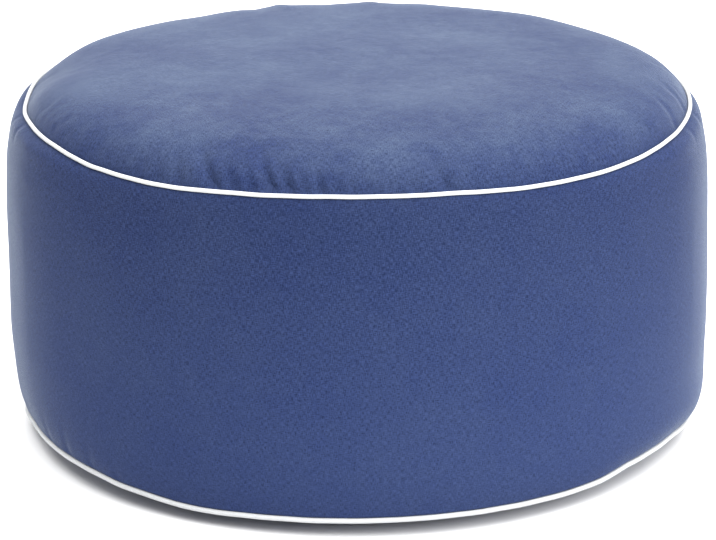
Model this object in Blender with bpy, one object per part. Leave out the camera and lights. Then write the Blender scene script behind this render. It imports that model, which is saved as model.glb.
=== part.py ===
"""Round drum pouf, blown up with air inside a fabric cover with piped seams.

The cover is cut as a round top panel, an upright side band and a round bottom
panel, with a white piping cord sewn into each of the two seams.

Frame: metres, +Z up, the front towards -Y.  The origin is the middle of the
outline, on the surface that the pouf rests on.
"""

import math

import bmesh
import bpy

# ---------------------------------------------------------------- driving sizes
TOP_SEAM_RADIUS = 0.250
BOTTOM_SEAM_RADIUS = 0.2545
BOTTOM_SEAM_HEIGHT = 0.013
BAND_HEIGHT = 0.2365
TOP_SEAM_HEIGHT = BOTTOM_SEAM_HEIGHT + BAND_HEIGHT
CROWN_SHOULDER = 0.029
CROWN_DOME = 0.004
CROWN_HEIGHT = CROWN_SHOULDER + CROWN_DOME
RESTING_RADIUS = 0.185
SHEET = 0.002
GAP = 0.0003
PIPING_RADIUS = 0.00225
PIPING_SIDES = 6
EVEN_STATIONS = 54
NEAREST_STATION_SHARE = 0.45
FABRIC_ROUGHNESS = 0.85
PIPING_ROUGHNESS = 0.75

MM = 0.001

# The crown rises at a slant from its seam, rounds over its shoulder, and is a shallow
# dome from there to the middle.
SHOULDER_POWER = 15.0
CROWN_ROWS = (0.42, 0.72, 0.84, 0.91, 0.96)

# The underside stays flat out to its resting radius, then lifts to the seam.
UNDERSIDE_LIFT_POWER = 2.2
UNDERSIDE_ROWS = (0.0, 0.50, 0.82)

# Where each sheet's two faces meet the groove of its piping, and the angles at
# which the band's groove turns round it (0 points outwards, 90 up, degrees).
TOP_SHEET_ANGLES = (135.0, 187.0)
BOTTOM_SHEET_ANGLES = (225.0, 173.0)
TOP_GROOVE_ANGLES = (-22.0, -60.0, -120.0, -158.0)
BOTTOM_GROOVE_ANGLES = (22.0, 60.0, 120.0, 158.0)

# Swell of the band beyond a straight line from seam to seam:
# (share of the band's height, swell in mm)
BAND_SWELL = (
    (0.02, 2.0),
    (0.05, 4.5),
    (0.10, 7.0),
    (0.18, 9.0),
    (0.30, 10.5),
    (0.50, 11.5),
    (0.75, 12.0),
    (0.86, 11.0),
    (0.93, 8.0),
    (0.97, 5.5),
)

# The seams wander a little, because the cloth stretches unevenly:
# (angle in degrees, rise in mm, reach in mm); 0 is right, 90 back, 270 front
TOP_SEAM_WANDER = (
    (10, 4.5, 1.5),
    (40, 0.0, 0.5),
    (90, 0.0, 0.0),
    (140, 0.0, 0.0),
    (168, 5.0, 0.0),
    (182, 1.0, -0.5),
    (196, 3.0, -1.5),
    (208, 2.5, -0.5),
    (222, -1.5, -0.5),
    (237, -2.5, 0.5),
    (251, -1.0, 0.0),
    (268, 0.0, 0.0),
    (283, -0.5, 0.0),
    (300, -3.0, 0.5),
    (315, -3.5, 0.5),
    (325, -2.5, 0.0),
    (334, -0.5, 0.5),
    (345, 0.5, 0.0),
    (356, 3.0, 1.0),
)
BOTTOM_SEAM_WANDER = (
    (10, 0.0, 0.5),
    (90, 0.0, 0.0),
    (170, 0.0, 0.5),
    (185, 1.0, 2.0),
    (197, 4.0, -0.5),
    (218, 3.5, -0.5),
    (230, 1.0, 0.0),
    (243, -1.5, 0.0),
    (256, -0.5, 0.0),
    (285, 0.0, 0.0),
    (310, 0.0, -0.5),
    (322, 4.5, -0.5),
    (334, 4.0, 0.0),
    (347, 0.0, 2.0),
)

# Main puckers, each a soft trough square to its seam, deepest at 6 mm from it:
# (face, angle in degrees, length in mm, depth in mm, half width in degrees)
DEEPEST_AT = 6.0
PUCKERS = (
    ("top", 76.5, 30, 1.2, 2.6),
    ("top", 111.0, 30, 1.2, 2.6),
    ("top", 173.0, 40, 1.6, 3.2),
    ("top", 245.6, 30, 1.8, 2.0),
    ("top", 250.6, 34, 2.0, 2.0),
    ("top", 256.0, 36, 2.2, 2.0),
    ("top", 262.4, 30, 1.8, 2.2),
    ("top", 286.0, 24, 1.2, 2.4),
    ("top", 340.0, 36, 1.4, 3.0),
    ("band top", 193.0, 22, 1.8, 2.6),
    ("band top", 348.0, 22, 1.6, 2.6),
    ("band bottom", 212.0, 26, 1.6, 2.4),
    ("band bottom", 224.0, 26, 1.8, 2.4),
)

FABRIC_BLUE = (0.055, 0.135, 0.290, 1.0)
PIPING_WHITE = (0.800, 0.810, 0.830, 1.0)


# ---------------------------------------------------------------- working round the seams
def wander(table, angle):
    """Rise and reach of a seam at an angle, eased from one row of its table to the next."""
    rows = table + ((table[0][0] + 360, table[0][1], table[0][2]),)
    angle = (angle - table[0][0]) % 360.0 + table[0][0]
    for (a0, rise0, reach0), (a1, rise1, reach1) in zip(rows, rows[1:]):
        if a0 <= angle <= a1:
            share = (angle - a0) / (a1 - a0)
            ease = share * share * (3.0 - 2.0 * share)
            return (rise0 + (rise1 - rise0) * ease) * MM, (reach0 + (reach1 - reach0) * ease) * MM
    return 0.0, 0.0


def top_seam(angle):
    """Radius and height of the top seam at an angle."""
    rise, reach = wander(TOP_SEAM_WANDER, angle)
    return TOP_SEAM_RADIUS + reach, TOP_SEAM_HEIGHT + rise


def bottom_seam(angle):
    """Radius and height of the bottom seam at an angle."""
    rise, reach = wander(BOTTOM_SEAM_WANDER, angle)
    return BOTTOM_SEAM_RADIUS + reach, BOTTOM_SEAM_HEIGHT + rise


def stations():
    """Angles of the sections: each pucker's line and feet, and even ones between them."""
    marks = []
    for face, angle, length, depth, half in PUCKERS:
        marks += [angle - half, angle, angle + half]
    step = 360.0 / EVEN_STATIONS
    nearest = step * NEAREST_STATION_SHARE
    for index in range(EVEN_STATIONS):
        angle = index * step
        gaps = [abs((angle - mark + 180.0) % 360.0 - 180.0) for mark in marks]
        if min(gaps) > nearest:
            marks.append(angle)
    return sorted(marks)


STATIONS = stations()


def pucker_depth(face, angle, distance):
    """Depth of the puckers of one face, at an angle and a distance from the seam."""
    total = 0.0
    for name, line, length, depth, half in PUCKERS:
        aside = abs((angle - line + 180.0) % 360.0 - 180.0)
        if name == face and aside < half and distance < length * MM:
            fade = 1.0 - distance / (length * MM)
            total += depth * MM * (1.0 - aside / half) * fade * min(1.0, distance / (DEEPEST_AT * MM))
    return total


def round_ring(centre, radius, angles):
    """Points of a profile at some angles round a seam's centre."""
    points = []
    for degrees in angles:
        turn = math.radians(degrees)
        points.append((centre[0] + radius * math.cos(turn), centre[1] + radius * math.sin(turn)))
    return points


def shifted(profile, distance):
    """A profile moved up by a distance, or down if it is negative, with its runs kept parallel."""
    directions = []
    for (r0, z0), (r1, z1) in zip(profile, profile[1:]):
        length = math.hypot(r1 - r0, z1 - z0)
        directions.append(((r1 - r0) / length, (z1 - z0) / length))
    moved = []
    for index, (radius, height) in enumerate(profile):
        before = directions[max(index - 1, 0)]
        after = directions[min(index, len(directions) - 1)]
        across = (-(before[1] + after[1]), before[0] + after[0])
        size = math.hypot(*across)
        across = (across[0] / size, across[1] / size)
        mitre = across[1] * after[0] - across[0] * after[1]
        moved.append((radius + across[0] * distance / mitre, height + across[1] * distance / mitre))
    moved[0] = (0.0, profile[0][1] + distance)
    return moved


# ---------------------------------------------------------------- profiles, from the axis outwards
def crown_face(angle):
    """Upper face of the top panel, from the axis to the seam."""
    seam_radius, seam_height = top_seam(angle)
    peak = TOP_SEAM_HEIGHT + CROWN_HEIGHT
    points = [(0.0, peak)]
    for share in CROWN_ROWS:
        dome = CROWN_DOME * (1.0 - share ** 2)
        radius = share * seam_radius
        height = seam_height + dome + (peak - CROWN_DOME - seam_height) * (1.0 - share ** SHOULDER_POWER)
        height -= pucker_depth("top", angle, seam_radius - radius)
        points.append((radius, height))
    points += round_ring((seam_radius, seam_height), PIPING_RADIUS + GAP, TOP_SHEET_ANGLES[:1])
    return points


def underside_face(angle):
    """Lower face of the bottom panel, from the axis to the seam."""
    seam = bottom_seam(angle)
    rim = round_ring(seam, PIPING_RADIUS + GAP, BOTTOM_SHEET_ANGLES[:1])[0]
    points = [(0.0, 0.0)]
    for share in UNDERSIDE_ROWS:
        radius = RESTING_RADIUS + share * (rim[0] - RESTING_RADIUS)
        points.append((radius, rim[1] * share ** UNDERSIDE_LIFT_POWER))
    points.append(rim)
    return points


def crown_lining_face(angle):
    """Lower face of the top panel, from the axis to the seam."""
    points = shifted(crown_face(angle), -SHEET)
    points[-1] = round_ring(top_seam(angle), PIPING_RADIUS + GAP, TOP_SHEET_ANGLES[1:])[0]
    return points


def underside_lining_face(angle):
    """Upper face of the bottom panel, from the axis to the seam."""
    points = shifted(underside_face(angle), SHEET)
    points[-1] = round_ring(bottom_seam(angle), PIPING_RADIUS + GAP, BOTTOM_SHEET_ANGLES[1:])[0]
    return points


def top_panel_profile(angle):
    return crown_face(angle) + crown_lining_face(angle)[::-1]


def bottom_panel_profile(angle):
    return underside_lining_face(angle) + underside_face(angle)[::-1]


def side_band_profile(angle):
    """The band with the air behind it: top face, groove, swollen side, groove, bottom face."""
    top_radius, top_height = top_seam(angle)
    bottom_radius, bottom_height = bottom_seam(angle)
    groove = PIPING_RADIUS + GAP
    points = shifted(crown_lining_face(angle), -GAP)
    points += round_ring((top_radius, top_height), groove, TOP_GROOVE_ANGLES[::-1])
    for share, swell in reversed(BAND_SWELL):
        radius = bottom_radius + (top_radius - bottom_radius) * share + swell * MM
        height = bottom_height + (top_height - bottom_height) * share
        radius -= pucker_depth("band top", angle, top_height - height)
        radius -= pucker_depth("band bottom", angle, height - bottom_height)
        points.append((radius, height))
    points += round_ring((bottom_radius, bottom_height), groove, BOTTOM_GROOVE_ANGLES)
    points += shifted(underside_lining_face(angle), GAP)[::-1]
    return points


def piping_profile(seam):
    """Round section of a piping cord."""
    turns = [-360.0 * side / PIPING_SIDES for side in range(PIPING_SIDES)]
    return round_ring(seam, PIPING_RADIUS, turns)


def top_piping_profile(angle):
    return piping_profile(top_seam(angle))


def bottom_piping_profile(angle):
    return piping_profile(bottom_seam(angle))


# ---------------------------------------------------------------- placing and building
def outline_centre():
    """Middle of the band's outline, which becomes the origin."""
    places = []
    for angle in STATIONS:
        radius = max(point[0] for point in side_band_profile(angle))
        turn = math.radians(angle)
        places.append((radius * math.cos(turn), radius * math.sin(turn)))
    along_x = [place[0] for place in places]
    along_y = [place[1] for place in places]
    return (max(along_x) + min(along_x)) / 2.0, (max(along_y) + min(along_y)) / 2.0


CENTRE_X, CENTRE_Y = outline_centre()


def material(name, colour, roughness):
    """Plain fabric finish for one sub-part."""
    finish = bpy.data.materials.new(name)
    finish.use_nodes = True
    shader = finish.node_tree.nodes["Principled BSDF"]
    shader.inputs["Base Color"].default_value = colour
    shader.inputs["Roughness"].default_value = roughness
    shader.inputs["Metallic"].default_value = 0.0
    finish.diffuse_color = colour
    return finish


def turned(name, profile_at, colour, roughness):
    """A closed body whose section changes from station to station round the axis.

    A profile that starts and ends on the axis closes at two poles; a ring's profile
    is a closed loop clear of the axis.
    """
    mesh = bmesh.new()
    sections = []
    first = profile_at(STATIONS[0])
    is_ring = first[0][0] > 0.0
    poles = {}
    if not is_ring:
        for index in (0, len(first) - 1):
            poles[index] = mesh.verts.new((-CENTRE_X, -CENTRE_Y, first[index][1]))
    for angle in STATIONS:
        turn = math.radians(angle)
        section = []
        for index, (radius, height) in enumerate(profile_at(angle)):
            if index in poles:
                section.append(poles[index])
                continue
            x = radius * math.cos(turn) - CENTRE_X
            y = radius * math.sin(turn) - CENTRE_Y
            section.append(mesh.verts.new((x, y, height)))
        sections.append(section)
    runs = list(zip(range(len(first)), range(1, len(first))))
    if is_ring:
        runs.append((len(first) - 1, 0))
    for here, there in zip(sections, sections[1:] + sections[:1]):
        for start, end in runs:
            # The diagonal starts at the corner nearer the axis, so that facing bodies match.
            near, far = (start, end) if first[start][0] < first[end][0] else (end, start)
            for corners in ((here[near], here[far], there[far]), (here[near], there[far], there[near])):
                if len(set(corners)) == 3:
                    mesh.faces.new(corners)
    bmesh.ops.recalc_face_normals(mesh, faces=mesh.faces)
    data = bpy.data.meshes.new(name)
    mesh.to_mesh(data)
    mesh.free()
    data.shade_smooth()
    data.materials.append(material(name, colour, roughness))
    body = bpy.data.objects.new(name, data)
    bpy.context.scene.collection.objects.link(body)
    return body


def build():
    for old in list(bpy.data.objects):
        bpy.data.objects.remove(old, do_unlink=True)
    turned("side_band", side_band_profile, FABRIC_BLUE, FABRIC_ROUGHNESS)
    turned("top_panel", top_panel_profile, FABRIC_BLUE, FABRIC_ROUGHNESS)
    turned("bottom_panel", bottom_panel_profile, FABRIC_BLUE, FABRIC_ROUGHNESS)
    turned("top_piping", top_piping_profile, PIPING_WHITE, PIPING_ROUGHNESS)
    turned("bottom_piping", bottom_piping_profile, PIPING_WHITE, PIPING_ROUGHNESS)


build()
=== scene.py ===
# %% [markdown]
# # Inflatable pouf: a fabric cover over air, with white piping in both seams
#
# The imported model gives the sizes: where each seam runs, how high the crown stands and
# where the pouf rests.  This lesson dresses it.  Each piece of the cover is made again as
# soft cloth, with cloth simulation for the gathers beside the seams, and the two piping
# cords are made with Geometry Nodes.  Everything is in metres, +Z up, the front towards -Y.

# %% Load the frame
import math

import bmesh
import bpy
import numpy as np
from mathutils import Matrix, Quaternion, Vector


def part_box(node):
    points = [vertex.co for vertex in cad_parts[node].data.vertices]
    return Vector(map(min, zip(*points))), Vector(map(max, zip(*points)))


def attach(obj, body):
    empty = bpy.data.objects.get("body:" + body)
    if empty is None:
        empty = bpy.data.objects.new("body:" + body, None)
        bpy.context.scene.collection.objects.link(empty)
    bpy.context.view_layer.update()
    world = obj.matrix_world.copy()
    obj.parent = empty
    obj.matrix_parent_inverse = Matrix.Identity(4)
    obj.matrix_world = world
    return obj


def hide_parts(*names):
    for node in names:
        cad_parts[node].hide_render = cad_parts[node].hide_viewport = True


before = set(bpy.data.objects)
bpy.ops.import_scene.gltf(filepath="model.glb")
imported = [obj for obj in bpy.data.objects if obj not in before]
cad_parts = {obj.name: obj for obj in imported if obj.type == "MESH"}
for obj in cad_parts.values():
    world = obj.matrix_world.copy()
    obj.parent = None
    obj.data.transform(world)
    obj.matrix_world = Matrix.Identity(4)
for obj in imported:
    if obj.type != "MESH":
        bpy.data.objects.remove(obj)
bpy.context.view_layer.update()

MM = 0.001
scene = bpy.context.scene

# %% [markdown]
# Three helpers: a new object in the scene, points round the axis, and a smooth hump.

# %% Helpers
def add_object(name, data):
    """A new object in the scene."""
    made = bpy.data.objects.new(name, data)
    scene.collection.objects.link(made)
    return made


def round_axis(radius, turns, height):
    """Points at some radii, angles and heights."""
    return np.stack([radius * np.cos(turns), radius * np.sin(turns), height], axis=1)


def hump(away):
    """A smooth hump: 1 at 0, and 0 from 1 on and from -1 back."""
    return np.cos(np.clip(away, -1, 1) * math.pi / 2) ** 2

# %% [markdown]
# ## Camera
#
# A long lens from above the front makes the round seams into narrow ellipses and keeps the
# sides nearly upright.  A least-squares fit of the seams, the sides and the crown's outline, run
# outside this lesson, gave its place, its lens, how far it looks down and its small roll.

# %% Camera
CAMERA_PLACE = (0.00015, -2.3028, 0.8589)
CAMERA_LENS = 158.33
CAMERA_DOWN = 0.31224
CAMERA_ROLL = -0.00747


def make_camera():
    """A long-lens camera in front of the pouf, looking down on it."""
    data = bpy.data.cameras.new("camera")
    data.lens = CAMERA_LENS
    data.sensor_width = 36.0
    camera = add_object("camera", data)
    camera.location = CAMERA_PLACE
    camera.rotation_mode = "QUATERNION"
    facing = Quaternion((1.0, 0.0, 0.0), math.pi / 2 - CAMERA_DOWN)
    camera.rotation_quaternion = facing @ Quaternion((0.0, 0.0, 1.0), CAMERA_ROLL)
    scene.camera = camera
    return camera


camera = make_camera()
scene.view_settings.view_transform = "Standard"
print("camera at", tuple(camera.location), "lens", round(CAMERA_LENS, 1))

# %% [markdown]
# ## Studio
#
# The pouf stands on a pale floor under soft light.  A white world lights it from all round, and
# a wide overhead light that leans a little from the right lights the crown more than the sides.
# A soft box in front to the right gives the band its slow change from darker to lighter, and a
# low one behind skims the crown, which brings out its sheen.

# %% Studio
FLOOR_SIZE = 14.0
FLOOR_SHADE = 0.78
WORLD_STRENGTH = 0.85
OVERHEAD_LEAN = 8.0
OVERHEAD_ANGLE = 90.0
OVERHEAD_STRENGTH = 6.8

# (name, place, the point it is turned to, width, height, watts)
SOFT_BOXES = (
    ("front_right", (2.8, -2.4, 1.7), (0.0, 0.0, 0.15), 1.6, 1.6, 105),
    ("behind", (0.3, 3.2, 1.3), (0.0, 0.0, 0.25), 3.4, 1.4, 32),
)


def soft_box(name, place, aim, width, height, watts):
    """A large area light at a place, turned towards a point."""
    box = add_object(name, bpy.data.lights.new(name, "AREA"))
    box.data.shape = "RECTANGLE"
    box.data.size = width
    box.data.size_y = height
    box.data.energy = watts
    box.location = place
    box.rotation_mode = "QUATERNION"
    box.rotation_quaternion = (Vector(aim) - Vector(place)).to_track_quat("-Z", "Y")


def overhead_light():
    """A wide light from above, even over the whole floor, that comes a little from the right."""
    sky = add_object("overhead", bpy.data.lights.new("overhead", "SUN"))
    sky.data.angle = math.radians(OVERHEAD_ANGLE)
    sky.data.energy = OVERHEAD_STRENGTH
    sky.rotation_euler = (0.0, math.radians(OVERHEAD_LEAN), 0.0)


def make_floor():
    """A wide pale floor at the height that the pouf stands on."""
    half = FLOOR_SIZE / 2
    mesh = bpy.data.meshes.new("floor")
    corners = [(-half, -half, 0), (half, -half, 0), (half, half, 0), (-half, half, 0)]
    mesh.from_pydata(corners, [], [(0, 1, 2, 3)])
    finish = bpy.data.materials.new("floor_paper")
    finish.use_nodes = True
    shader = finish.node_tree.nodes["Principled BSDF"]
    shader.inputs["Base Color"].default_value = (FLOOR_SHADE, FLOOR_SHADE, FLOOR_SHADE, 1.0)
    shader.inputs["Roughness"].default_value = 0.9
    shader.inputs["Specular IOR Level"].default_value = 0.2
    mesh.materials.append(finish)
    add_object("floor", mesh)


def white_world():
    """A white world, which lights the pouf from all round."""
    world = bpy.data.worlds.new("studio")
    scene.world = world
    world.use_nodes = True
    background = world.node_tree.nodes["Background"]
    background.inputs["Color"].default_value = (1.0, 1.0, 1.0, 1.0)
    background.inputs["Strength"].default_value = WORLD_STRENGTH


white_world()
make_floor()
overhead_light()
for box in SOFT_BOXES:
    soft_box(*box)
print("studio: world, floor and", len(bpy.data.lights), "lights")

# %% [markdown]
# ## Where the seams run
#
# The two seams are the skeleton of the cover: every panel is made between them.  They could be
# typed in as circles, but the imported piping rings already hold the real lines, with the small
# rises and reaches of stretched cloth.  So each ring is read back: its corners are sorted into
# sections by their angle round the axis, and the middle of each section is on the seam.  The
# cord is pressed between the swollen panels, more in the top seam than in the bottom one, so it
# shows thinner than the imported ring.  At the back on the left the seam rides up a little.

# %% Read the seams
STEPS_ROUND = 1440
SECTION_GAP = 0.2
EASING_STEPS = 13
SEAM_PULL = 0.9 * MM
TOP_SQUEEZE = 0.66
BOTTOM_SQUEEZE = 0.84

# Where the top seam rides up: (angle in degrees, rise in mm, half width in degrees)
SEAM_RISES = ((156, 4.0, 30),)


def seam_of(node):
    """Radius and height of a seam at even angles, and its cord's radius, from its piping ring."""
    corners = {tuple(round(c, 6) for c in vertex.co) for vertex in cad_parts[node].data.vertices}
    corners = np.array(sorted(corners))
    angles = np.degrees(np.arctan2(corners[:, 1], corners[:, 0])) % 360
    order = np.argsort(angles)
    cuts = np.where(np.diff(angles[order]) > SECTION_GAP)[0] + 1
    sections = []
    for group in np.split(order, cuts):
        middle = corners[group].mean(axis=0)
        turn = math.degrees(math.atan2(middle[1], middle[0])) % 360
        cord = np.linalg.norm(corners[group] - middle, axis=1).mean()
        sections.append((turn, math.hypot(middle[0], middle[1]), middle[2], cord))
    sections = np.array(sorted(sections))
    even = np.arange(STEPS_ROUND) * 360.0 / STEPS_ROUND
    line = []
    for column in (1, 2):
        values = np.interp(even, sections[:, 0], sections[:, column], period=360)
        window = np.hanning(EASING_STEPS + 2)[1:-1]
        wrapped = np.concatenate([values[-EASING_STEPS:], values, values[:EASING_STEPS]])
        eased = np.convolve(wrapped, window / window.sum(), mode="same")
        line.append(eased[EASING_STEPS:-EASING_STEPS])
    return np.array(line), float(sections[:, 3].mean())


TOP_SEAM, CORD_RADIUS = seam_of("top_piping")
BOTTOM_SEAM, _ = seam_of("bottom_piping")
TOP_SEAM[1] -= SEAM_PULL
for angle, rise, half in SEAM_RISES:
    away = (np.arange(STEPS_ROUND) * 360.0 / STEPS_ROUND - angle) / half
    TOP_SEAM[1] += rise * MM * hump(away)
TOP_CORD = TOP_SQUEEZE * CORD_RADIUS
BOTTOM_CORD = BOTTOM_SQUEEZE * CORD_RADIUS
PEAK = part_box("top_panel")[1].z
for place, seam, cord in (("top", TOP_SEAM, TOP_CORD), ("bottom", BOTTOM_SEAM, BOTTOM_CORD)):
    radius, height = seam.mean(axis=1) / MM
    print(place, "seam: radius", round(radius), "mm,", round(height), "mm up; its cord is",
          round(2 * cord / MM, 1), "mm thick")


def at_angle(line, angle):
    """A seam's radius and height at an angle in radians, or at many."""
    share = np.asarray(angle) / (2 * math.pi) * STEPS_ROUND
    places = np.arange(STEPS_ROUND)
    return tuple(np.interp(share, places, row, period=STEPS_ROUND) for row in line)

# %% [markdown]
# ## Profiles
#
# Blown up, a flat round panel stands up at a slant from its seam, bends over a shoulder and
# runs almost flat to its middle.  A high power of the radius has just that bend, and a shallow
# parabola on top keeps the middle a little domed.  At the front, where the cloth is gathered
# most, the panel stands up steeply beside its seam and then rounds over slowly, so two powers
# are added there.  At the left it is slacker.  The band swells out between its seams, and more
# near the top, where nothing presses on it.  Its swell is a short table with a column for each
# side, eased from row to row.  It began as a rounded fit, and every row was changed one by one.

# %% Sizes of the profiles
TUCK = 0.15 * MM
TOP_CLEARANCE = TOP_CORD + TUCK
BOTTOM_CLEARANCE = BOTTOM_CORD + TUCK
BAND_EDGE_REACH = 0.5 * MM
CROWN_DOME = 4.0 * MM
RESTING_RADIUS = 0.185
UNDERSIDE_LIFT_POWER = 2.2

# The bend of the crown at each side: (share of its rise, power of the radius)
BACK_SHOULDER = ((1.0, 15.0),)
LEFT_SHOULDER = ((1.0, 9.5),)
FRONT_SHOULDER = ((0.42, 40.0), (0.58, 7.0))
LEFT_AT = math.radians(171)
LEFT_HALF = math.radians(19)
FRONT_BLEND = 0.75

# How soon the band turns from its front column to a side one, on the way round
SIDE_GAIN = 1.35
SIDE_POWER = 4

# How far the band stands out from the line between its seams, in mm:
# (share of its height, at the left, at the right, at the front and back)
BAND_SWELL = (
    (0.00, 0.0, 0.0, 0.0),
    (0.02, 1.5, 3.5, 1.5),
    (0.05, 4.0, 7.5, 3.5),
    (0.10, 6.5, 10.0, 5.5),
    (0.18, 9.0, 10.5, 7.0),
    (0.30, 11.5, 12.0, 7.5),
    (0.50, 12.5, 13.0, 6.5),
    (0.75, 14.0, 13.0, 4.5),
    (0.86, 13.5, 12.0, 3.0),
    (0.93, 11.5, 9.5, 2.0),
    (0.97, 9.5, 7.5, 1.5),
    (0.985, 7.5, 5.0, 0.8),
    (1.00, 0.0, 0.0, 0.0),
)

# Low swells and hollows of the crown, where the cloth is a little loose or pulled:
# (angle in degrees, radius in mm, rise in mm, half width across in mm, half width along in mm)
CROWN_SWELLS = (
    (150, 222, 1.0, 60, 20),
    (126, 218, -1.0, 18, 26),
    (113, 216, -1.2, 8, 26),
    (107, 216, 1.6, 7, 26),
    (97, 214, -1.0, 14, 26),
    (87, 214, 1.3, 9, 26),
    (75, 214, 0.5, 10, 26),
    (50, 216, 1.2, 34, 24),
    (265, 120, 0.8, 60, 40),
    (225, 150, -0.7, 45, 45),
    (310, 150, 0.7, 55, 35),
    (60, 120, -0.7, 60, 45),
    (180, 110, 0.8, 50, 50),
    (5, 170, -0.7, 45, 40),
)

# %% [markdown]
# A profile takes a share of the way along the cloth and an angle, and gives a radius and a
# height.  The low swells are added to the crown's height, so it isn't a perfect dome.

# %% Profiles
PROFILE_STEPS = 3000
FRONT = -math.pi / 2


def crown_swell(radius, angle):
    """Height that the low swells add to the crown."""
    total = np.zeros(np.broadcast(radius, angle).shape)
    for degrees, middle, rise, across, along in CROWN_SWELLS:
        aside = (np.degrees(angle) - degrees + 180) % 360 - 180
        sideways = np.radians(aside) * radius / (across * MM)
        outwards = (radius - middle * MM) / (along * MM)
        total += rise * MM * np.exp(-sideways ** 2 - outwards ** 2) * (np.abs(aside) < 90)
    return total


def eased(places, columns, at):
    """A smooth line through the rows of a table, that never overshoots them (Fritsch-Carlson)."""
    places, columns = np.asarray(places, float), np.asarray(columns, float)
    widths = np.diff(places)
    slopes = np.diff(columns) / widths
    knots = np.zeros(len(places))
    for row in range(1, len(places) - 1):
        if slopes[row - 1] * slopes[row] > 0:
            one, two = 2 * widths[row] + widths[row - 1], widths[row] + 2 * widths[row - 1]
            knots[row] = (one + two) / (one / slopes[row - 1] + two / slopes[row])
    knots[0], knots[-1] = slopes[0], slopes[-1]
    at = np.asarray(at, float)
    row = np.clip(np.searchsorted(places, at) - 1, 0, len(widths) - 1)
    t = (at - places[row]) / widths[row]
    return (columns[row] * (1 + 2 * t) * (1 - t) ** 2 + columns[row + 1] * t * t * (3 - 2 * t)
            + widths[row] * t * (1 - t) * (knots[row] * (1 - t) - knots[row + 1] * t))


def band_swell(up, angle):
    """How far the band stands out at a share of its height and an angle."""
    shares, left, right, front = zip(*BAND_SWELL)
    sideways = np.cos(angle)
    to_side = np.minimum(1.0, SIDE_GAIN * sideways ** SIDE_POWER)
    at_side = np.where(sideways < 0, eased(shares, left, up), eased(shares, right, up))
    return MM * (at_side * to_side + eased(shares, front, up) * (1 - to_side))


def shoulder(out, angle):
    """Share of the crown's rise: steepest beside the seam at the front, and slacker at the left."""
    back, left, front = (sum(part * (1.0 - out ** power) for part, power in table)
                         for table in (BACK_SHOULDER, LEFT_SHOULDER, FRONT_SHOULDER))
    to_front = np.clip(0.5 - FRONT_BLEND * np.sin(angle), 0, 1)
    to_front = to_front * to_front * (3 - 2 * to_front)
    aside = (np.asarray(angle) - LEFT_AT + math.pi) % (2 * math.pi) - math.pi
    to_left = hump(aside / LEFT_HALF)
    rise = back + (front - back) * to_front
    return rise + (left - rise) * to_left


def top_panel_at(share, angle):
    """Radius and height of the top panel, from 0 at its rim to 1 at its middle."""
    seam_radius, seam_height = at_angle(TOP_SEAM, angle)
    out = 1.0 - share
    rise = (PEAK - CROWN_DOME - seam_height) * shoulder(out, angle)
    radius = out * (seam_radius - TOP_CLEARANCE)
    height = seam_height + rise + CROWN_DOME * (1.0 - out ** 2) + crown_swell(radius, angle)
    return radius, height


def bottom_panel_at(share, angle):
    """Radius and height of the bottom panel, from 0 at its rim to 1 at its middle."""
    seam_radius, seam_height = at_angle(BOTTOM_SEAM, angle)
    rim = seam_radius - BOTTOM_CLEARANCE
    radius = (1.0 - share) * rim
    lift = np.clip((radius - RESTING_RADIUS) / (rim - RESTING_RADIUS), 0, 1)
    return radius, seam_height * lift ** UNDERSIDE_LIFT_POWER


def band_at(share, angle):
    """Radius and height of the side band, from 0 under the top piping to 1 above the bottom one."""
    top_radius, top_height = at_angle(TOP_SEAM, angle)
    bottom_radius, bottom_height = at_angle(BOTTOM_SEAM, angle)
    up = 1.0 - share
    radius = bottom_radius + (top_radius - bottom_radius) * up + band_swell(up, angle) + BAND_EDGE_REACH
    low = bottom_height + BOTTOM_CLEARANCE
    high = top_height - TOP_CLEARANCE
    return radius, low + (high - low) * up


def measured(profile):
    """A profile's shares at the front, with the length of cloth from its start and its radius."""
    share = 0.5 - 0.5 * np.cos(np.linspace(0, math.pi, PROFILE_STEPS))
    radius, height = profile(share, np.full(PROFILE_STEPS, FRONT))
    length = np.concatenate([[0], np.cumsum(np.hypot(np.diff(radius), np.diff(height)))])
    return share, length, radius


for name, profile in (("top panel", top_panel_at), ("band", band_at), ("bottom panel", bottom_panel_at)):
    print(name, "is", round(measured(profile)[1][-1] / MM), "mm of cloth from its seam on")

# %% [markdown]
# ## Cloth laid out in rings
#
# Each piece is laid out as rings of cloth that follow its seam, close together near the seam,
# where the gathers are, and wider apart away from it.  On a round panel the rings get short
# towards the middle, so the number of steps round is halved on the way in.  Even squares of
# cloth fold evenly in a simulation, and thin slivers don't.
#
# Each vertex gets a place on the flat cloth too, in metres, as a UV map.  The weave is drawn on
# that, so its threads run straight across a panel and round the band, as they do in cut cloth.

# %% Rings of cloth
PANEL_STEPS = 464
BAND_STEPS = 448
FINE_STEP = 3.4 * MM
COARSE_STEP = 9.0 * MM
STEP_GROWTH = 0.06
HALVING_RADII = (0.160, 0.090, 0.050, 0.026)


def ring_distances(length, both_ends):
    """Distances of the rings from the seam, along the cloth."""
    reach = length / 2 if both_ends else length - COARSE_STEP
    distances = [0.0]
    while distances[-1] < reach:
        distances.append(distances[-1] + min(COARSE_STEP, FINE_STEP + STEP_GROWTH * distances[-1]))
    distances = np.array(distances) * reach / distances[-1]
    if both_ends:
        return np.concatenate([distances, length - distances[-2::-1]])
    return distances


def steps_for(radius, most):
    """Steps round a ring of some radius, halved on the way in to the middle."""
    return most // 2 ** sum(radius < mark for mark in HALVING_RADII)


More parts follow.
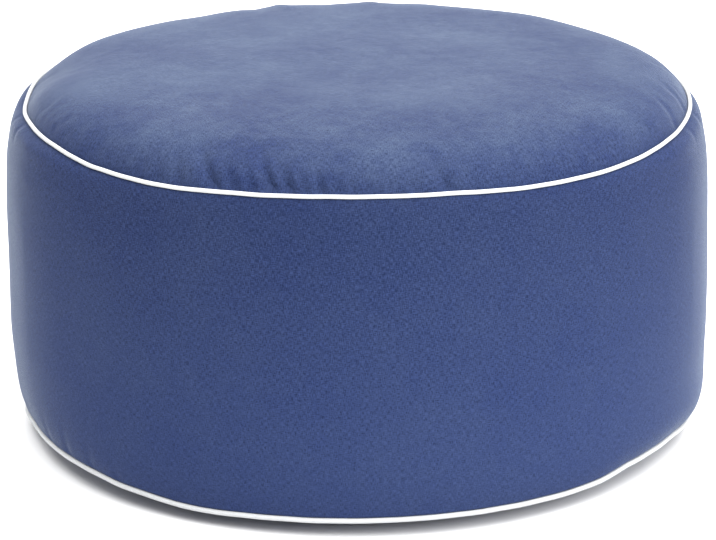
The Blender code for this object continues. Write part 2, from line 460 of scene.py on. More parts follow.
def ring(profile, share, distance, steps, shift_in=0.0, shift_up=0.0, free=True):
    """One ring of a piece: its points, its distance from the seam, and whether it may move."""
    turns = np.arange(steps) * 2 * math.pi / steps
    radius, height = profile(np.full(steps, share), turns)
    points = round_axis(radius - shift_in, turns, height + shift_up)
    return {"points": points, "turns": turns, "distance": distance, "free": free}


def rings_along(profile, both_ends, most):
    """The visible rings of a piece, from its seam to its middle or to its other seam."""
    share, length, radius = measured(profile)
    rings = []
    for distance in ring_distances(length[-1], both_ends):
        place = float(np.interp(distance, length, share))
        steps = most if both_ends else steps_for(float(np.interp(distance, length, radius)), most)
        rings.append(ring(profile, place, float(distance), steps))
    return rings, float(length[-1])


def bridge(mesh, outer, inner):
    """Faces between two rings, where the second one may have half as many steps."""
    count = len(outer)
    if len(inner) == count:
        for step in range(count):
            after = (step + 1) % count
            mesh.faces.new((outer[step], outer[after], inner[after], inner[step]))
        return
    for step in range(len(inner)):
        after = (step + 1) % len(inner)
        low, mid, high = outer[2 * step], outer[2 * step + 1], outer[(2 * step + 2) % count]
        mesh.faces.new((low, mid, inner[step]))
        mesh.faces.new((mid, high, inner[after]))
        mesh.faces.new((mid, inner[after], inner[step]))


def bridge_out(mesh, inner, outer):
    """Faces from a ring to one with twice as many steps."""
    for step in range(len(inner)):
        after = (step + 1) % len(inner)
        low, mid, high = outer[2 * step], outer[2 * step + 1], outer[(2 * step + 2) % len(outer)]
        mesh.faces.new((low, inner[step], mid))
        mesh.faces.new((mid, inner[step], inner[after]))
        mesh.faces.new((mid, inner[after], high))


def close_ring(mesh, row, distance, around):
    """A fan of faces from a ring to a point in its middle."""
    pole = mesh.verts.new(sum((vertex.co for vertex in row), Vector()) / len(row))
    around[pole] = (distance + COARSE_STEP, 0.0)
    for here, there in zip(row, row[1:] + row[:1]):
        mesh.faces.new((here, there, pole))

# %% [markdown]
# The rings are sewn into one mesh.  Each corner of each face looks up its flat place, and the
# face's own angle says which side of the closing seam it is on, so no face spans the whole map.

# %% Sew the rings
def sew_rings(name, rings, flat_place, both_ends, flip):
    """A cloth mesh through a list of rings, closed to a point at its end or at both ends."""
    mesh = bmesh.new()
    uv = mesh.loops.layers.uv.new("weave")
    around = {}
    rows = []
    for one in rings:
        row = []
        for point, turn in zip(one["points"], one["turns"]):
            vertex = mesh.verts.new(point)
            around[vertex] = (one["distance"], turn)
            row.append(vertex)
        rows.append(row)
    if both_ends:
        close_ring(mesh, rows[0][::-1], rings[0]["distance"], around)
    for outer, inner in zip(rows, rows[1:]):
        bridge(mesh, outer, inner) if len(outer) >= len(inner) else bridge_out(mesh, outer, inner)
    close_ring(mesh, rows[-1], rings[-1]["distance"], around)
    for face in mesh.faces:
        middle = face.calc_center_median()
        turn_here = math.atan2(middle.y, middle.x)
        for loop in face.loops:
            distance, turn = around[loop.vert]
            loop[uv].uv = flat_place(distance, turn, turn_here)
    if flip:
        bmesh.ops.reverse_faces(mesh, faces=mesh.faces)
    data = bpy.data.meshes.new(name)
    mesh.to_mesh(data)
    mesh.free()
    data.shade_smooth()
    return add_object(name, data)


def panel_flat(length):
    """Places on a round panel laid flat, where the threads run straight across."""
    def place(distance, turn, turn_here):
        return (length - distance) * math.cos(turn), (length - distance) * math.sin(turn)
    return place


def band_flat(radius):
    """Places on the band laid flat as a strip, cut at its closing seam at the back."""
    def place(distance, turn, turn_here):
        here = (turn_here - math.pi / 2) % (2 * math.pi)
        there = (turn - math.pi / 2) % (2 * math.pi)
        there += round((here - there) / (2 * math.pi)) * 2 * math.pi
        return radius * there, distance
    return place

# %% [markdown]
# ## Gathers
#
# A flat disc that is blown up has too much cloth at its rim: its edge was cut to the length of
# the cloth over the crown, and the seam holds it on a smaller circle.  The extra cloth buckles
# into short puckers square to the seam.  They could be carved by hand, but a cloth simulation
# finds how they spread and fade by itself.  It is given three things: where the cloth starts,
# how long each thread is when the cloth lies flat (a second shape, which the simulation uses
# as the rest shape), and the seam, which is held still.  Troughs in the start shape say where
# the largest puckers form and give most of their depth; the simulation rounds and joins them.

# %% Gathers
TROUGH_START = 3 * MM
TROUGH_FADE = 1.2

# Share of the extra cloth that is left in at each part of a seam: (angle in degrees, share)
TOP_GATHER = ((0, 0.7), (40, 0.5), (80, 0.6), (112, 0.7), (145, 0.5), (175, 0.8), (205, 0.7),
              (232, 1.4), (250, 2.3), (264, 2.1), (285, 1.3), (310, 0.6), (335, 0.8))
BAND_GATHER = ((0, 0.5), (90, 0.4), (180, 0.5), (225, 0.4), (270, 0.2), (315, 0.2))
BOTTOM_GATHER = ((0, 0.7), (120, 0.8), (240, 0.7))

# Troughs that the gathers start from:
# (angle in degrees, length in mm, depth in mm, half width in degrees, lean in degrees)
TOP_PUCKERS = (
    (76.5, 26, 1.0, 1.5, 0.0),
    (86.5, 26, 1.2, 1.5, 0.5),
    (105.7, 24, 1.2, 1.5, 0.0),
    (111.6, 24, 1.0, 1.4, -0.5),
    (118.7, 26, 1.2, 1.6, 0.0),
    (173.0, 30, 1.2, 2.2, 2.0),
    (181.0, 26, 0.8, 1.8, 1.5),
    (231.0, 22, 1.0, 1.2, 1.5),
    (236.0, 24, 1.6, 1.2, -1.5),
    (240.5, 32, 3.0, 1.3, -3.5),
    (247.0, 52, 5.5, 1.6, -9.0),
    (250.5, 34, 3.6, 1.2, -5.0),
    (253.5, 30, 3.6, 1.2, -3.5),
    (256.5, 42, 7.5, 1.6, -4.5),
    (259.5, 36, 6.5, 1.5, -4.0),
    (262.0, 26, 3.4, 1.1, -2.0),
    (264.5, 26, 5.0, 1.2, -2.0),
    (267.0, 22, 3.4, 1.1, -1.0),
    (269.5, 22, 2.6, 1.0, -1.0),
    (272.0, 20, 1.8, 1.0, -1.0),
    (275.5, 18, 1.0, 1.1, 0.0),
    (279.5, 26, 1.8, 1.2, -1.5),
    (284.8, 38, 4.4, 1.5, -3.0),
    (289.0, 24, 1.6, 1.2, -1.0),
    (295.0, 20, 0.9, 1.2, 1.0),
    (340.0, 34, 0.8, 1.8, 3.0),
    (349.0, 34, 0.8, 1.8, 3.0),
)
BAND_TOP_PUCKERS = (
    (193.0, 22, 1.2, 1.4, 0.0),
    (186.0, 18, 0.9, 1.2, 0.0),
    (283.5, 26, 0.7, 2.2, 0.0),
    (344.0, 20, 1.0, 1.4, 0.0),
    (352.0, 20, 1.1, 1.4, 0.0),
)
BAND_BOTTOM_PUCKERS = (
    (206.0, 26, 1.2, 1.6, 0.0),
    (213.0, 30, 1.4, 1.6, 1.0),
    (220.0, 26, 1.2, 1.5, 1.0),
    (227.0, 22, 1.0, 1.5, 0.0),
)


def by_angle(table, angle):
    """A value from a table of angles, eased between its rows."""
    degrees = np.degrees(angle) % 360
    return np.interp(degrees, [row[0] for row in table], [row[1] for row in table], period=360)


def trough(table, angle, distance):
    """Depth of the start troughs at an angle and a distance from their seam."""
    total = np.zeros(len(angle))
    for line, length, depth, half, lean in table:
        along = np.clip(distance / (length * MM), 0, 1)
        aside = (np.degrees(angle) - line - lean * along + 180) % 360 - 180
        fade = (1 - along) ** TROUGH_FADE
        total += depth * MM * hump(aside / half) * fade * np.clip(distance / TROUGH_START, 0, 1)
    return total

# %% [markdown]
# The simulation runs for a few frames only, until the extra cloth has buckled, and with no
# gravity, because the air carries the cover.  It also swells each ring evenly, but the profiles
# already have that swell, so only what differs round a ring is kept.

# %% Blow up the cloth
SIM_FRAMES = 18
SIM_PRESSURE = 4.0
SIM_CAP = 5 * MM
CLOTH = {
    "quality": 4, "mass": 0.3, "pin_stiffness": 1.0,
    "tension_stiffness": 15, "compression_stiffness": 15,
    "shear_stiffness": 2, "bending_stiffness": 0.05,
    "tension_damping": 0, "compression_damping": 0, "shear_damping": 0,
    "use_pressure": True, "uniform_pressure_force": SIM_PRESSURE,
}


def points_of(mesh):
    """The places of a mesh's vertices."""
    places = np.empty(len(mesh.vertices) * 3)
    mesh.vertices.foreach_get("co", places)
    return places.reshape(-1, 3)


def settle(piece, rest, held):
    """Blows the cloth up between its held parts, and says how far each vertex moves.

    rest is the flat length of the cloth as a second shape, and held says from 0 to 1 how
    firmly each vertex stays where it is.
    """
    start = points_of(piece.data)
    piece.shape_key_add(name="start")
    cut = piece.shape_key_add(name="cut")
    cut.data.foreach_set("co", rest.ravel())
    group = piece.vertex_groups.new(name="held")
    for index, weight in enumerate(held):
        group.add([index], float(weight), "REPLACE")
    cloth = piece.modifiers.new("cloth", "CLOTH")
    settings = cloth.settings
    for name, value in CLOTH.items():
        setattr(settings, name, value)
    settings.vertex_group_mass = group.name
    settings.effector_weights.gravity = 0
    settings.rest_shape_key = cut
    cloth.point_cache.frame_start = 1
    cloth.point_cache.frame_end = SIM_FRAMES
    for frame_number in range(1, SIM_FRAMES + 1):
        scene.frame_set(frame_number)
    blown = piece.evaluated_get(bpy.context.evaluated_depsgraph_get())
    moved = points_of(blown.data) - start
    piece.modifiers.remove(cloth)
    piece.shape_key_clear()
    piece.vertex_groups.remove(group)
    scene.frame_set(1)
    return moved


def only_gathers(moved, rings):
    """Takes the even swell of each ring out of a movement, and caps what is left."""
    first = 0
    for one in rings:
        part = moved[first:first + len(one["turns"])]
        outwards = np.stack([np.cos(one["turns"]), np.sin(one["turns"])], axis=1)
        part[:, :2] -= (part[:, :2] * outwards).sum(axis=1).mean() * outwards
        part[:, 2] -= part[:, 2].mean()
        first += len(one["turns"])
    size = np.linalg.norm(moved, axis=1)
    return moved * np.minimum(1.0, SIM_CAP / np.maximum(size, 1e-9))[:, None]

# %% [markdown]
# A whole piece is made in order: its mean section, its cut shape, how firmly each part is held,
# the start troughs, the mesh, the simulation and one subdivision, which rounds the puckers.

# %% A piece with its gathers
GATHER_REACH = 55 * MM
GATHER_FADE = 25 * MM
LEAST_CLIMB = 0.1


def apply_modifier(piece, modifier):
    """Keeps the mesh that a modifier makes, smoothly shaded, and takes the modifier away."""
    made = bpy.data.meshes.new_from_object(piece.evaluated_get(bpy.context.evaluated_depsgraph_get()))
    piece.modifiers.remove(modifier)
    old = piece.data
    piece.data = made
    bpy.data.meshes.remove(old)
    made.name = piece.name
    made.shade_smooth()


def subdivide(piece):
    """One smooth subdivision, applied."""
    smooth = piece.modifiers.new("smooth", "SUBSURF")
    smooth.levels = 1
    smooth.render_levels = 1
    apply_modifier(piece, smooth)


def section_of(rings):
    """The mean section of a piece: each ring's mean radius and height, and the way out there."""
    middles = np.array([[np.hypot(one["points"][:, 0], one["points"][:, 1]).mean(),
                         one["points"][:, 2].mean()] for one in rings])
    slopes = np.gradient(middles, axis=0)
    normals = np.stack([slopes[:, 1], -slopes[:, 0]], axis=1)
    normals /= np.maximum(np.linalg.norm(normals, axis=1), 1e-9)[:, None]
    return middles, normals


def flat_shape(rings, middles, widest, gather):
    """The cloth as it was cut: each ring as long as its cloth, and as far on from the last."""
    most = max(len(one["turns"]) for one in rings)
    around = np.arange(most) * 2 * math.pi / most
    height = np.zeros(most)
    last_radius = None
    shape = []
    for index, one in enumerate(rings):
        stride = most // len(one["turns"])
        radius = middles[index, 0]
        full = radius + by_angle(gather, around) * max(0.0, widest(one["distance"]) - radius)
        if last_radius is not None:
            step = np.linalg.norm(middles[index] - middles[index - 1])
            run = full - last_radius
            height = height + np.sqrt(np.maximum(step ** 2 - run ** 2, (LEAST_CLIMB * step) ** 2))
        last_radius = full
        shape.append(round_axis(full[::stride], one["turns"], height[::stride]))
    return shape


def held_parts(rings, both_ends):
    """How firmly each vertex is held: at a seam, where it is hidden and away from the gathers."""
    total = max(one["distance"] for one in rings)
    held = []
    for one in rings:
        from_seam = min(one["distance"], total - one["distance"]) if both_ends else one["distance"]
        hold = np.clip((from_seam - GATHER_REACH) / GATHER_FADE, 0, 1)
        hold = 1.0 if not one["free"] or from_seam == 0 else hold * hold * (3 - 2 * hold)
        held.append(np.full(len(one["turns"]), hold))
    return held


def press_troughs(rings, normals, troughs):
    """Presses the start troughs into the rings that may move."""
    for one, normal in zip(rings, normals):
        if one["free"]:
            depth = troughs(one["turns"], one["distance"])
            one["points"] -= round_axis(depth * normal[0], one["turns"], depth * normal[1])


def cloth_with_gathers(name, rings, flat_place, widest, gather, troughs, outward, both_ends=False):
    """A piece of the cover, with its gathers settled beside its seams.

    widest gives the radius that a ring would have if its cloth lay flat, at a distance.
    troughs gives the depth of the start troughs at the angles and distance of a ring.
    outward is 1 where the rings climb from the first seam, and -1 where they go down from it.
    both_ends says that there is a seam at the far end too.
    """
    middles, normals = section_of(rings)
    rest = flat_shape(rings, middles, widest, gather)
    held = held_parts(rings, both_ends)
    press_troughs(rings, outward * normals, troughs)
    piece = sew_rings(name, rings, flat_place, both_ends, flip=outward < 0)
    places = points_of(piece.data)
    poles = len(places) - sum(len(part) for part in rest)
    rest = np.concatenate(rest + [places[len(places) - poles:]])
    held = np.concatenate(held + [np.ones(poles)])
    moved = only_gathers(settle(piece, rest, held), rings)
    piece.data.vertices.foreach_set("co", (places + moved).ravel())
    piece.data.update()
    subdivide(piece)
    farthest = np.linalg.norm(moved, axis=1).max() / MM
    print(name, "has gathers that moved up to", round(farthest, 1), "mm")
    return piece

# %% [markdown]
# ## Top panel
#
# One function makes both round panels.  Each is a sheet, so after its gathers have settled it is
# given its thickness inwards.  Its edge goes on behind the piping, as the seam allowance does,
# so no edge shows.

# %% Top panel
SHEET = 1.2 * MM
TOP_TUCKS = ((0.4 * MM, -2.4 * MM), (0.3 * MM, -1.2 * MM))


def thicken(piece):
    """Gives a sheet its thickness, inwards from the face that shows."""
    wall = piece.modifiers.new("thickness", "SOLIDIFY")
    wall.thickness = SHEET
    wall.offset = -1.0
    wall.use_even_offset = True
    apply_modifier(piece, wall)


def make_panel(name, profile, steps, tucks, gather, troughs, outward):
    """A round panel with its hidden edge, and the length of its cloth from seam to middle."""
    hidden = [ring(profile, 0.0, 0.0, steps, into, up, free=False) for into, up in tucks]
    visible, length = rings_along(profile, False, steps)
    panel = cloth_with_gathers(name, hidden + visible, panel_flat(length),
                               lambda distance: length - distance, gather, troughs, outward)
    thicken(panel)
    return panel, length


top_panel, top_length = make_panel(
    "top_panel_cloth", top_panel_at, PANEL_STEPS, TOP_TUCKS, TOP_GATHER,
    lambda turns, distance: trough(TOP_PUCKERS, turns, distance), outward=1)

# %% [markdown]
# ## Side band
#
# The band is one strip round the pouf.  With the air behind it, it is a filled body, so it is
# closed under the top panel and over the bottom one.  Its cloth is a straight strip, so both of
# its edges have a little too much cloth, and they gather where the seams pull them in.

# %% Side band
BAND_TUCKS = ((2.4 * MM, 0.1 * MM), (1.2 * MM, 0.2 * MM))
CAP_SHARES = (0.66, 0.42, 0.22, 0.10, 0.03)
CAP_DROP = 3.2 * MM
CLOSING_DEPTH = 1.2 * MM
CLOSING_HALF_WIDTH = 1.6


def cap_rings(profile, drop):
    """Hidden rings that close the band behind a panel, from near the middle outwards."""
    rings = []
    for share in CAP_SHARES:
        radius = (1.0 - share) * TOP_SEAM[0].mean()
        rings.append(ring(profile, share, 0.0, steps_for(radius, BAND_STEPS), CAP_DROP, drop, free=False))
    return rings


def band_troughs(length):
    """Start troughs beside both of the band's seams, and the valley of its closing seam."""
    def depth(turns, distance):
        from_seam = np.abs((np.degrees(turns) - 90 + 180) % 360 - 180) / CLOSING_HALF_WIDTH
        return (trough(BAND_TOP_PUCKERS, turns, distance) + CLOSING_DEPTH * hump(from_seam)
                + trough(BAND_BOTTOM_PUCKERS, turns, length - distance))
    return depth


def make_side_band():
    """The band with its hidden ends, as one filled body."""
    visible, length = rings_along(band_at, True, BAND_STEPS)
    over = [ring(band_at, 0.0, 0.0, BAND_STEPS, into, -up, free=False) for into, up in BAND_TUCKS]
    under = [ring(band_at, 1.0, length, BAND_STEPS, into, up, free=False) for into, up in BAND_TUCKS[::-1]]
    top_cap = cap_rings(top_panel_at, -CAP_DROP)
    bottom_cap = cap_rings(bottom_panel_at, CAP_DROP)[::-1]
    for one in bottom_cap:
        one["distance"] = length
    widest = section_of(visible)[0][:, 0].max()
    return cloth_with_gathers(
        "side_band_cloth", top_cap + over + visible + under + bottom_cap, band_flat(widest),
        lambda distance: widest, BAND_GATHER, band_troughs(length), outward=-1, both_ends=True)


side_band = make_side_band()

# %% [markdown]
# ## Bottom panel
#
# The bottom panel is cut like the top one, but the pouf's weight presses it flat on the floor.
# Only the part that lifts from the floor to the seam can gather, in ridges instead of troughs.

# %% Bottom panel
BOTTOM_TUCKS = ((0.9 * MM, 1.6 * MM), (0.5 * MM, 0.8 * MM))
BOTTOM_PUCKERS = tuple((9 + 17 * step, 26, 0.8 + 0.3 * (step % 3), 1.8, step % 5 - 2.0)
                       for step in range(21))

bottom_panel, bottom_length = make_panel(
    "bottom_panel_cloth", bottom_panel_at, BAND_STEPS, BOTTOM_TUCKS, BOTTOM_GATHER,
    lambda turns, distance: -trough(BOTTOM_PUCKERS, turns, distance), outward=-1)

# %% [markdown]
# ## Piping
#
# Each piping cord is a strip of bias tape folded over a round cord and sewn into the seam.  It
# follows a path and keeps one section all the way, which is what Geometry Nodes' Curve to Mesh
# is for.  The tree takes the seam as a line of edges, and stores the length along the cord and
# the way round it as a UV map, so that the threads of the tape can slant across it.

# %% Piping cords
PIPING_STEPS = 900
PIPING_SIDES = 18
PIPING_WAVE = 0.10 * MM
PIPING_WAVES_ROUND = (47, 5)
JOIN_GAP = 0.15 * MM


def piping_tree():
    """Geometry Nodes: a round cord along a line, with its own UV map."""
    tree = bpy.data.node_groups.new("piping_cord", "GeometryNodeTree")
    for name, kind in (("Line", "Geometry"), ("Radius", "Float"), ("Sides", "Int"), ("Finish", "Material")):
        tree.interface.new_socket(name, in_out="INPUT", socket_type="NodeSocket" + kind)
    tree.interface.new_socket("Cord", in_out="OUTPUT", socket_type="NodeSocketGeometry")
    add = tree.nodes.new
    start, end = add("NodeGroupInput"), add("NodeGroupOutput")
    curve = add("GeometryNodeMeshToCurve")
    along = add("GeometryNodeSplineParameter")
    keep_along = add("GeometryNodeCaptureAttribute")
    keep_along.capture_items.new("FLOAT", "along")
    circle = add("GeometryNodeCurvePrimitiveCircle")
    round_it = add("GeometryNodeSplineParameter")
    keep_round = add("GeometryNodeCaptureAttribute")
    keep_round.capture_items.new("FLOAT", "round")
    sweep = add("GeometryNodeCurveToMesh")
    sweep.inputs["Fill Caps"].default_value = True
    pair = add("ShaderNodeCombineXYZ")
    store = add("GeometryNodeStoreNamedAttribute")
    store.data_type = "FLOAT2"
    store.domain = "CORNER"
    store.inputs["Name"].default_value = "weave"
    realize = add("GeometryNodeRealizeInstances")
    finish = add("GeometryNodeSetMaterial")
    joins = (
        (start, "Line", curve, "Mesh"),
        (curve, "Curve", keep_along, "Geometry"),
        (along, "Length", keep_along, "along"),
        (start, "Radius", circle, "Radius"),
        (start, "Sides", circle, "Resolution"),
        (circle, "Curve", keep_round, "Geometry"),
        (round_it, "Length", keep_round, "round"),
        (keep_along, "Geometry", sweep, "Curve"),
        (keep_round, "Geometry", sweep, "Profile Curve"),
        (keep_along, "along", pair, "X"),
        (keep_round, "round", pair, "Y"),
        (sweep, "Mesh", store, "Geometry"),
        (pair, "Vector", store, "Value"),
        (store, "Geometry", realize, "Geometry"),
        (realize, "Geometry", finish, "Geometry"),
        (start, "Finish", finish, "Material"),
        (finish, "Geometry", end, "Cord"),
    )
    for source, output, target, into in joins:
        tree.links.new(source.outputs[output], target.inputs[into])
    return tree


def run_tree(piece, tree, values):
    """Puts a tree on an object, sets its named inputs, and keeps the plain mesh it makes."""
    modifier = piece.modifiers.new(tree.name, "NODES")
    modifier.node_group = tree
    for item in tree.interface.items_tree:
        if item.in_out == "INPUT" and item.name in values:
            modifier[item.identifier] = values[item.name]
    apply_modifier(piece, modifier)


def make_piping(name, seam, thick, tree, finish):
    """A piping cord along a seam, starting and ending at its join at the back."""
    gap = JOIN_GAP / seam[0].mean()
    turns = np.linspace(math.pi / 2 + gap, 2.5 * math.pi - gap, PIPING_STEPS)
    radius, height = at_angle(seam, turns % (2 * math.pi))
    short, long = PIPING_WAVES_ROUND
    height = height + PIPING_WAVE * np.sin(short * turns) * np.sin(long * turns + 1.0)
    mesh = bpy.data.meshes.new(name)
    edges = [(step, step + 1) for step in range(PIPING_STEPS - 1)]
    mesh.from_pydata(round_axis(radius, turns, height).tolist(), edges, [])
    cord = add_object(name, mesh)
    run_tree(cord, tree, {"Radius": thick, "Sides": PIPING_SIDES, "Finish": finish})
    return cord

# %% [markdown]
# ## The weave
#
# Both finishes are woven, so they share one group: a plain weave drawn on the flat cloth, with
# a height for the threads and a tone for each thread's own shade.  The threads of the cover
# differ in shade, and that is what gives it its grain.  The piping tape is cut on the bias, so
# its threads run slantwise.

# %% Weave group
THREAD_RISE = 0.6
THREAD_DIP = 0.4
YARN_STRETCH = 0.16
YARN_NOISE = {"Scale": 1.1, "Detail": 2.0}


def wire(tree, kind, ready=None, **sources):
    """Adds a node, sets what is constant on it, and links its inputs by name or number."""
    made = tree.nodes.new(kind)
    for key, value in (ready or {}).items():
        setattr(made, key, value)
    for key, value in sources.items():
        socket = made.inputs[int(key[1:]) if key[0] == "n" and key[1:].isdigit() else key.replace("_", " ")]
        if isinstance(value, bpy.types.NodeSocket):
            tree.links.new(value, socket)
        else:
            socket.default_value = value
    return made


def calculate(tree, operation, result, *others):
    """Arithmetic on sockets and numbers, from left to right."""
    for other in others or (0.0,):
        result = wire(tree, "ShaderNodeMath", {"operation": operation}, n0=result, n1=other).outputs[0]
    return result


def weave_group():
    """A plain weave: Height of its threads, and Tone, each thread's own shade."""
    tree = bpy.data.node_groups.new("plain_weave", "ShaderNodeTree")
    for name, kind in (("Place", "Vector"), ("Pitch", "Float"), ("Turn", "Float")):
        tree.interface.new_socket(name, in_out="INPUT", socket_type="NodeSocket" + kind)
    for name in ("Height", "Tone"):
        tree.interface.new_socket(name, in_out="OUTPUT", socket_type="NodeSocketFloat")
    start, end = tree.nodes.new("NodeGroupInput"), tree.nodes.new("NodeGroupOutput")
    turned = wire(tree, "ShaderNodeVectorRotate", {"rotation_type": "Z_AXIS"},
                  Vector=start.outputs["Place"], Angle=start.outputs["Turn"]).outputs[0]
    count = calculate(tree, "DIVIDE", 1.0, start.outputs["Pitch"])
    threads = wire(tree, "ShaderNodeVectorMath", {"operation": "SCALE"}, n0=turned, Scale=count).outputs[0]
    split = wire(tree, "ShaderNodeSeparateXYZ", n0=threads)
    across, along = split.outputs["X"], split.outputs["Y"]
    warp = calculate(tree, "SINE", calculate(tree, "MULTIPLY", across, math.pi))
    weft = calculate(tree, "SINE", calculate(tree, "MULTIPLY", along, math.pi))
    over = calculate(tree, "MULTIPLY", warp, weft, THREAD_DIP)
    heights = [calculate(tree, "MULTIPLY", calculate(tree, "ABSOLUTE", thread),
                         calculate(tree, operation, THREAD_RISE, over))
               for thread, operation in ((warp, "ADD"), (weft, "SUBTRACT"))]
    tree.links.new(calculate(tree, "MAXIMUM", *heights), end.inputs["Height"])
    tones = []
    for stretch in ((1.0, YARN_STRETCH, 1.0), (YARN_STRETCH, 1.0, 1.0)):
        yarn = wire(tree, "ShaderNodeVectorMath", {"operation": "MULTIPLY"}, n0=threads, n1=stretch)
        tones.append(wire(tree, "ShaderNodeTexNoise", Vector=yarn.outputs[0], **YARN_NOISE).outputs["Fac"])
    tone = calculate(tree, "MULTIPLY", calculate(tree, "ADD", *tones), 0.5)
    tree.links.new(tone, end.inputs["Tone"])
    return tree

# %% [markdown]
# ## Cover and piping cloth
#
# The cover is dyed yarn in a plain weave.  Its shade comes from the weave's Tone, mixed from a
# dark to a lighter blue.  Two slow noises then mix in a greyer blue in soft, cloudy patches,
# almost only on the crown: partly wear where it is sat on, and partly painted sheen that makes
# the whole crown lighter.  The band has painted floor bounce and shade: it is lighter near the
# floor and darker higher up.  One flat blue would look like plastic.  The weave's Height goes to
# a Bump node, because single threads are too fine for the mesh.  Sheen stands for the fine
# fibres: it is weak where the cloth faces the eye and strong where it turns away, at the back of
# the crown and the sides.

# %% Finishes
COVER_PITCH = 0.55 * MM
COVER_DARK = (0.0020, 0.0070, 0.0340, 1.0)
COVER_LIGHT = (0.0225, 0.0395, 0.1210, 1.0)
# A greyer blue: wear on the crown in cloudy patches, and painted sheen that lightens the whole crown
COVER_WEAR_AND_SHEEN = (0.056, 0.079, 0.132, 1.0)
COVER_SHEEN = 0.28
COVER_SHEEN_ROUGHNESS = 0.27
COVER_SHEEN_TINT = (0.80, 0.90, 1.0, 1.0)
THREAD_HEIGHT = 0.05 * MM
YARN_HEIGHT = 0.05 * MM
CLOUD_HEIGHT = 0.22 * MM
BROAD_CLOUDS = {"Scale": 11.0, "Detail": 3.0, "Roughness": 0.6}
SMALL_CLOUDS = {"Scale": 90.0, "Detail": 3.0, "Roughness": 0.7}
PIPING_PITCH = 0.40 * MM
PIPING_WHITE = (0.50, 0.51, 0.52)

# What is spread over what: (from, up to, becomes, up to), for heights in metres and for noises
# Where the crown is, for its wear, its painted sheen and its ripples
CROWN_BY_HEIGHT = (0.242, 0.277, 0.2, 1.0)
# Painted floor bounce and shade: the cloth lighter near the floor and darker higher up
PAINTED_LIGHT_BY_HEIGHT = (0.03, 0.22, 0.16, -0.12)
# How much greyer blue the clouds mix in: wear, and painted sheen on the crown
WEAR_AND_SHEEN_BY_BROAD = (0.34, 0.66, 0.08, 0.48)
WEAR_AND_SHEEN_BY_SMALL = (0.3, 0.7, -0.11, 0.17)
PROUD_BY_TONE = (0.38, 0.62, 0.35, 1.6)
SHADE_BY_TONE = (0.36, 0.64, 0.0, 1.0)
PIPING_BY_TONE = (0.3, 0.7, 0.93, 1.03)


def woven(name, group, pitch, turn):
    """A new material with the weave in it: its tree, shader and weave node."""
    finish = bpy.data.materials.new(name)
    finish.use_nodes = True
    tree = finish.node_tree
    place = wire(tree, "ShaderNodeUVMap", {"uv_map": "weave"}).outputs["UV"]
    weave = wire(tree, "ShaderNodeGroup", {"node_tree": group}, Place=place, Pitch=pitch, Turn=turn)
    shader = tree.nodes["Principled BSDF"]
    return finish, tree, shader, weave


def spread(tree, value, ranges):
    """Maps a value from one range to another, held at both ends."""
    low, high, to_low, to_high = ranges
    return wire(tree, "ShaderNodeMapRange", Value=value, From_Min=low, From_Max=high,
                To_Min=to_low, To_Max=to_high).outputs["Result"]


def dress(tree, shader, colour, relief, values):
    """Gives a shader its colour, its relief and its plain values."""
    tree.links.new(colour, shader.inputs["Base Color"])
    tree.links.new(relief.outputs["Normal"], shader.inputs["Normal"])
    for name, value in values.items():
        shader.inputs[name].default_value = value


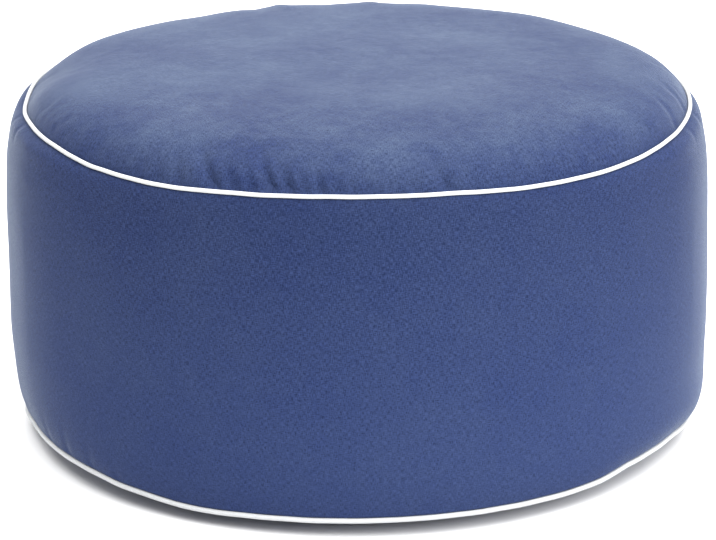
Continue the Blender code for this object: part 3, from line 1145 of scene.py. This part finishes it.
def cover_cloth(group):
    """The blue cover cloth."""
    finish, tree, shader, weave = woven("blue_weave", group, COVER_PITCH, 0.0)
    where = wire(tree, "ShaderNodeTexCoord").outputs["Object"]
    height = wire(tree, "ShaderNodeSeparateXYZ", n0=where).outputs["Z"]
    broad = wire(tree, "ShaderNodeTexNoise", Vector=where, **BROAD_CLOUDS).outputs["Fac"]
    small = wire(tree, "ShaderNodeTexNoise", Vector=where, **SMALL_CLOUDS).outputs["Fac"]
    tone = weave.outputs["Tone"]
    on_crown = spread(tree, height, CROWN_BY_HEIGHT)
    clouds = calculate(tree, "ADD", spread(tree, broad, WEAR_AND_SHEEN_BY_BROAD),
                       spread(tree, small, WEAR_AND_SHEEN_BY_SMALL))
    proud = spread(tree, tone, PROUD_BY_TONE)
    # Greyer blue on the crown: wear in cloudy patches, and painted sheen that lightens the crown
    wear_and_painted_sheen = calculate(tree, "MULTIPLY", clouds, on_crown, proud)
    # The shade also holds painted floor bounce and shade: lighter near the floor, darker higher up
    shade = calculate(tree, "ADD", spread(tree, tone, SHADE_BY_TONE), spread(tree, height, PAINTED_LIGHT_BY_HEIGHT))
    yarn = wire(tree, "ShaderNodeMix", {"data_type": "RGBA"}, Factor=shade, n6=COVER_DARK, n7=COVER_LIGHT)
    colour = wire(tree, "ShaderNodeMix", {"data_type": "RGBA"}, Factor=wear_and_painted_sheen, n6=yarn.outputs[2],
                  n7=COVER_WEAR_AND_SHEEN)
    threads = calculate(tree, "MULTIPLY", weave.outputs["Height"], THREAD_HEIGHT)
    yarns = calculate(tree, "MULTIPLY", tone, YARN_HEIGHT)
    ripples = calculate(tree, "MULTIPLY", on_crown, CLOUD_HEIGHT, small)
    surface = calculate(tree, "ADD", threads, yarns, ripples)
    relief = wire(tree, "ShaderNodeBump", Height=surface, Distance=1.0, Strength=1.0)
    dress(tree, shader, colour.outputs[2], relief, {
        "Roughness": 0.9, "Specular IOR Level": 0.2, "Sheen Weight": COVER_SHEEN,
        "Sheen Roughness": COVER_SHEEN_ROUGHNESS, "Sheen Tint": COVER_SHEEN_TINT})
    return finish


def piping_cloth(group):
    """The off-white bias tape of the piping."""
    finish, tree, shader, weave = woven("white_piping", group, PIPING_PITCH, math.radians(45))
    shade = spread(tree, weave.outputs["Tone"], PIPING_BY_TONE)
    colour = wire(tree, "ShaderNodeVectorMath", {"operation": "SCALE"}, n0=PIPING_WHITE, Scale=shade)
    relief = wire(tree, "ShaderNodeBump", Height=weave.outputs["Height"], Distance=0.1 * MM, Strength=0.5)
    dress(tree, shader, colour.outputs[0], relief, {"Roughness": 0.8, "Specular IOR Level": 0.25})
    return finish


weave = weave_group()
cover_finish = cover_cloth(weave)
piping_finish = piping_cloth(weave)
print("finishes:", [finish.name for finish in (cover_finish, piping_finish)])

# %% [markdown]
# ## Put together
#
# The cords wait for their finish, because their Geometry Nodes tree takes it as an input.  Now
# they are made, and the band and the two panels get theirs.

# %% Put together
cord_tree = piping_tree()
top_piping = make_piping("top_piping_cord", TOP_SEAM, TOP_CORD, cord_tree, piping_finish)
bottom_piping = make_piping("bottom_piping_cord", BOTTOM_SEAM, BOTTOM_CORD, cord_tree, piping_finish)
for piece in (top_panel, side_band, bottom_panel):
    piece.data.materials.clear()
    piece.data.materials.append(cover_finish)

# %% [markdown]
# ## Hand over
#
# Each piece rides on the one body and stands for its imported node.

# %% Hand over
for piece, node, slot in (
        (top_panel, "top_panel", "blue_weave"),
        (side_band, "side_band", "blue_weave"),
        (bottom_panel, "bottom_panel", "blue_weave"),
        (top_piping, "top_piping", "white_piping"),
        (bottom_piping, "bottom_piping", "white_piping")):
    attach(piece, "root")
    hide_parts(node)
    triangles = sum(len(face.vertices) - 2 for face in piece.data.polygons)
    print(piece.name, "comes to", triangles, "triangles")
